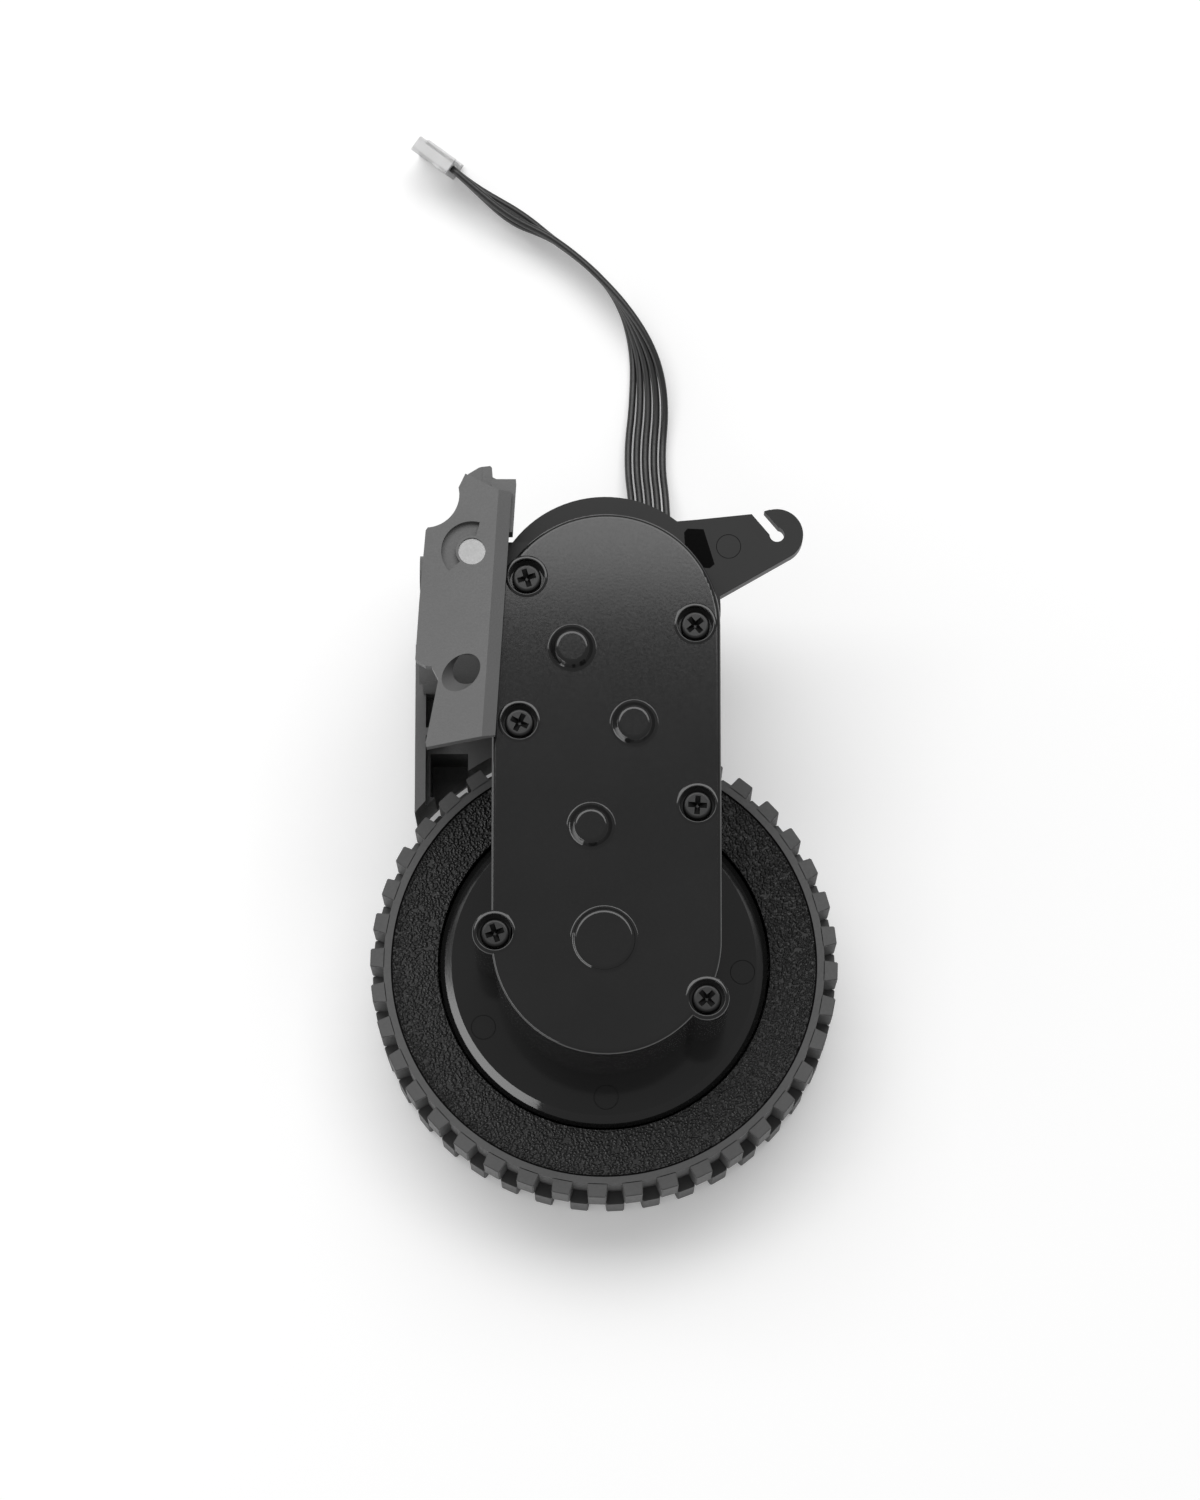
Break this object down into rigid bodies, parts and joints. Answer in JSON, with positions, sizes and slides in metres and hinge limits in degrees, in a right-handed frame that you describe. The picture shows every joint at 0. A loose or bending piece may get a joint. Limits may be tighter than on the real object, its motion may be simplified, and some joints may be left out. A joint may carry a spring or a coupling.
{
  "type": "robot vacuum wheel module",
  "caption": "Sprung drive wheel module of a floor robot: lugged tyre, gearbox arm with motor, pivot bracket and plugged cable.",
  "frame": {"origin": "on the wheel's axis, in the plane of the wheel's outer face", "axes": "+Z along the wheel's axis towards the gearbox, +Y from the wheel to the motor end, +X towards the spring arm"},
  "size_m": [0.07, 0.1727, 0.0462],
  "materials": {
    "tyre": "matt rubber",
    "hub_plastic": "fine matt",
    "ring_plastic": "coarse leather grain",
    "black_screw": "black oxide",
    "steel": "ground",
    "gear_plastic": "natural acetal",
    "bronze": "sintered",
    "housing_plastic": "glossy black",
    "zinc_steel": "zinc plated",
    "ferrite": "ferrite",
    "brass": "turned",
    "board": "solder mask",
    "chip": "moulded",
    "cable_rubber": "matt",
    "bracket_plastic": "fine grain grey",
    "nylon": "natural nylon"
  },
  "bodies": {
    "bracket": {"bracket": "bracket_plastic", "pivot_pin": "steel"},
    "arm": {"gearbox_base": "housing_plastic", "gearbox_cover": "housing_plastic", "cover_screws": "black_screw", "motor_can": "zinc_steel", "motor_end_cap": "hub_plastic", "motor_magnets": "ferrite", "motor_screws": "black_screw", "motor_cover": "housing_plastic", "motor_terminals": "brass", "encoder_board": "board", "hall_sensors": "chip", "cable_grommet": "cable_rubber", "cable": "cable_rubber", "plug_housing": "nylon", "bearing_outer_ring": "steel", "bearing_balls": "steel", "axle_bush": "bronze", "first_gear_pin": "steel", "second_gear_pin": "steel", "third_gear_pin": "steel"},
    "wheel": {"tyre": "tyre", "wheel_hub": "hub_plastic", "hub_ring": "ring_plastic", "hub_cap": "hub_plastic", "hub_screw": "black_screw", "wheel_axle": "steel", "output_gear": "gear_plastic", "bearing_inner_ring": "steel"},
    "third_gear": {"third_gear": "gear_plastic"},
    "second_gear": {"second_gear": "gear_plastic"},
    "first_gear": {"first_gear": "gear_plastic"},
    "rotor": {"motor_shaft": "steel", "motor_pinion": "brass", "encoder_magnet": "ferrite"}
  },
  "joints": [
    {"name": "arm_swing", "type": "hinge", "parent": "bracket", "child": "arm", "pos_m": [-0.0194, 0.0572, 0.03], "axis": [0, 0, 1], "range_deg": [0, 22]},
    {"name": "wheel_spin", "type": "hinge", "parent": "arm", "child": "wheel", "pos_m": [0, 0, 0.03], "axis": [0, 0, 1], "continuous": true},
    {"name": "third_gear_spin", "type": "hinge", "parent": "arm", "child": "third_gear", "pos_m": [-0.0019, 0.01669, 0.03], "axis": [0, 0, 1], "continuous": true},
    {"name": "second_gear_spin", "type": "hinge", "parent": "arm", "child": "second_gear", "pos_m": [0.00439, 0.03195, 0.03], "axis": [0, 0, 1], "continuous": true},
    {"name": "first_gear_spin", "type": "hinge", "parent": "arm", "child": "first_gear", "pos_m": [-0.0047, 0.04325, 0.03], "axis": [0, 0, 1], "continuous": true},
    {"name": "motor_spin", "type": "hinge", "parent": "arm", "child": "rotor", "pos_m": [0.00018, 0.05057, 0.03], "axis": [0, 0, 1], "continuous": true}
  ],
  "couplings": [
    {"joint": "third_gear_spin", "follows": "wheel_spin", "ratio": -3},
    {"joint": "second_gear_spin", "follows": "wheel_spin", "ratio": 8},
    {"joint": "first_gear_spin", "follows": "wheel_spin", "ratio": -17.778},
    {"joint": "motor_spin", "follows": "wheel_spin", "ratio": 60.444}
  ]
}
